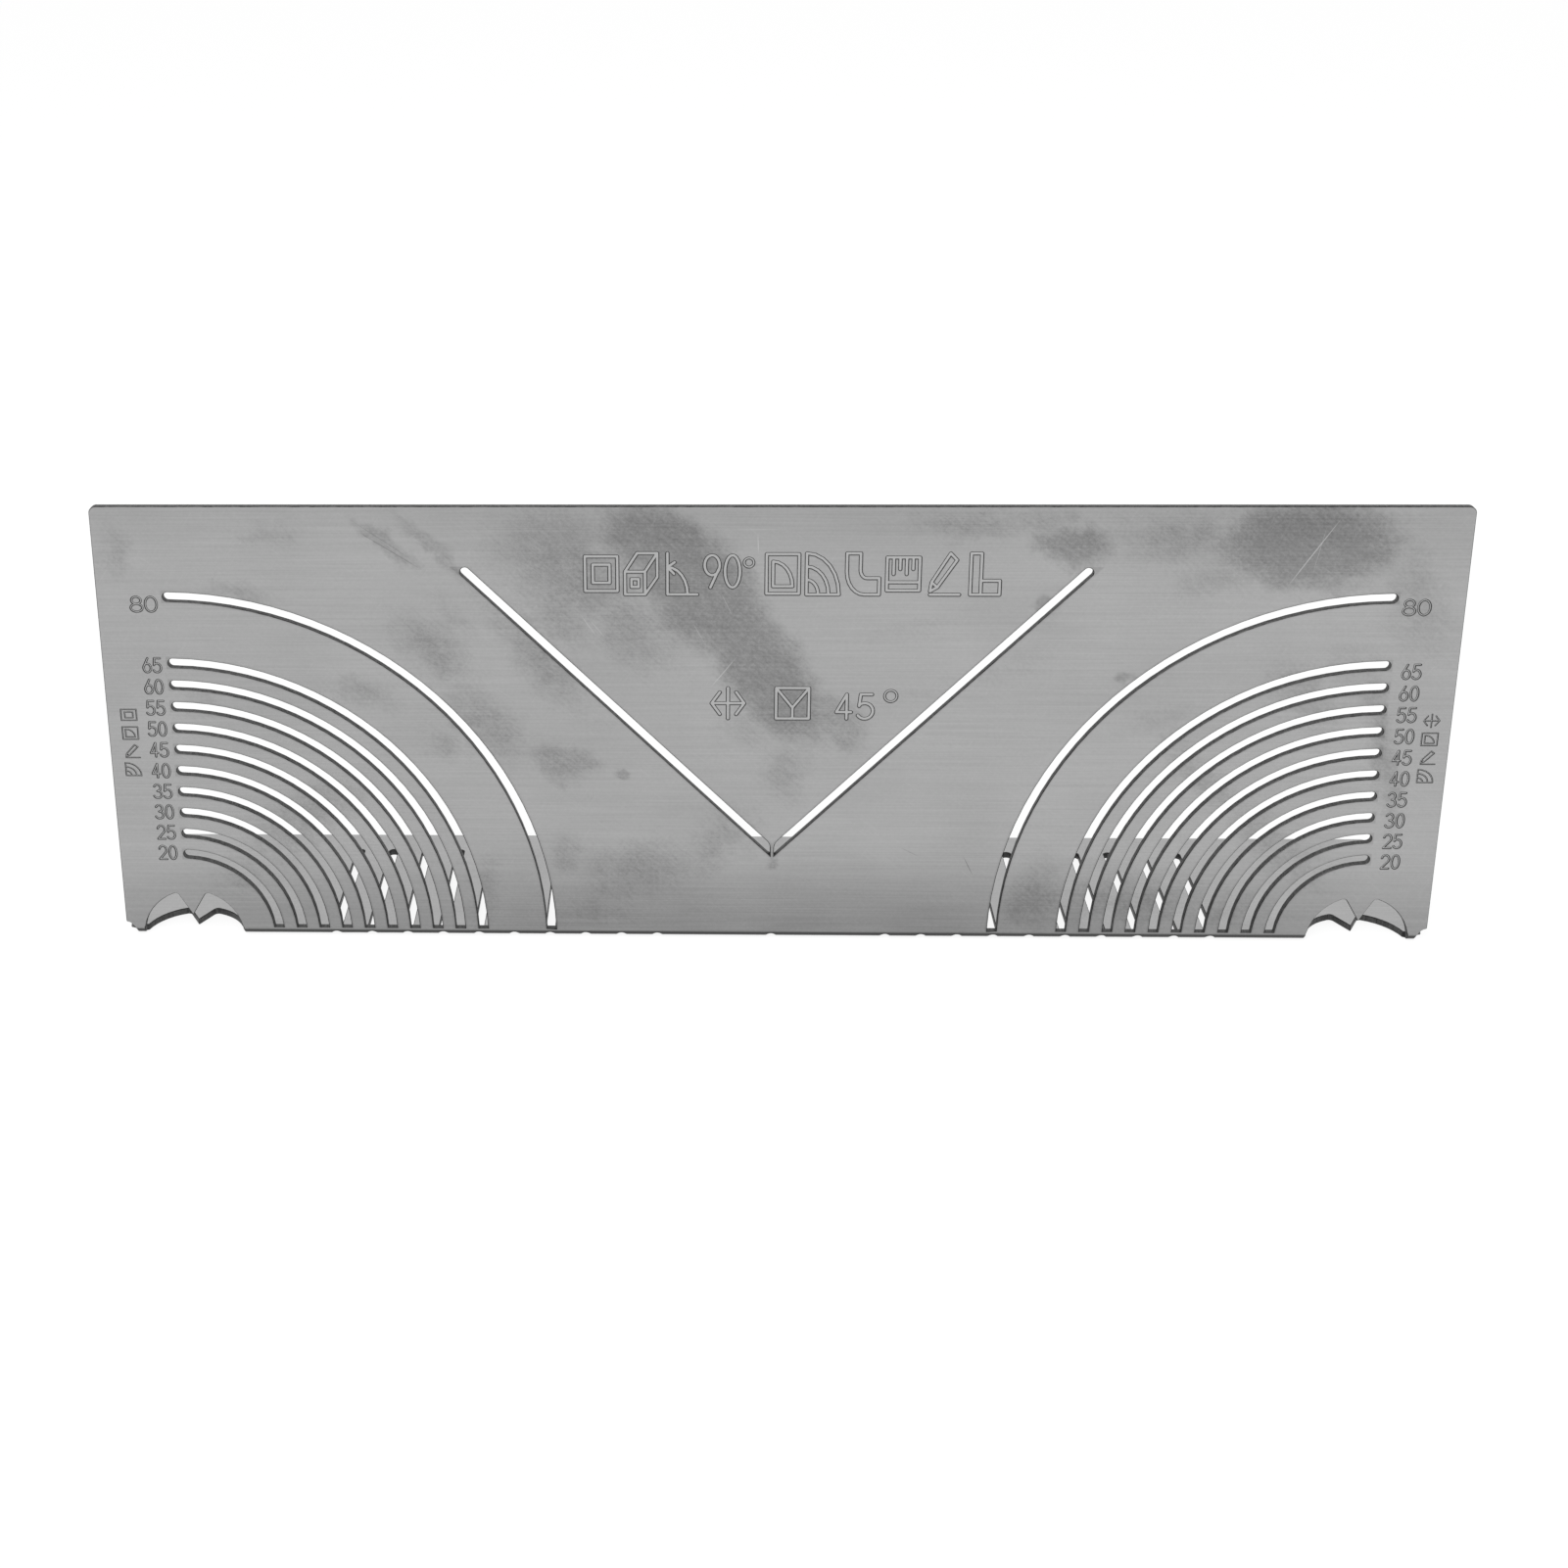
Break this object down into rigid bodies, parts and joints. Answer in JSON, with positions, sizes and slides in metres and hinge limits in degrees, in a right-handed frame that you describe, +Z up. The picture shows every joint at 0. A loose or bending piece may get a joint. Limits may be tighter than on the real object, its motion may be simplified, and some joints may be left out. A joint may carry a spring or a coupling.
{
  "type": "square pipe marking tool",
  "caption": "Folded stainless steel marking gauge for square tube, with arc slots, a V of mitre slots, straight slots in the leg and a sight window near each end of the fold.",
  "frame": {"origin": "bottom centre of the box around the part: middle of the fold's length, half way along the leg, on its underside", "axes": "+X along the fold, +Y from the plate's front to its back, +Z up the plate from the underside of the leg"},
  "size_m": [0.284, 0.045, 0.1],
  "materials": {
    "stainless_sheet": "brushed, lightly smudged and scratched"
  },
  "bodies": {
    "root": {"gauge_plate": "stainless_sheet"}
  },
  "joints": []
}
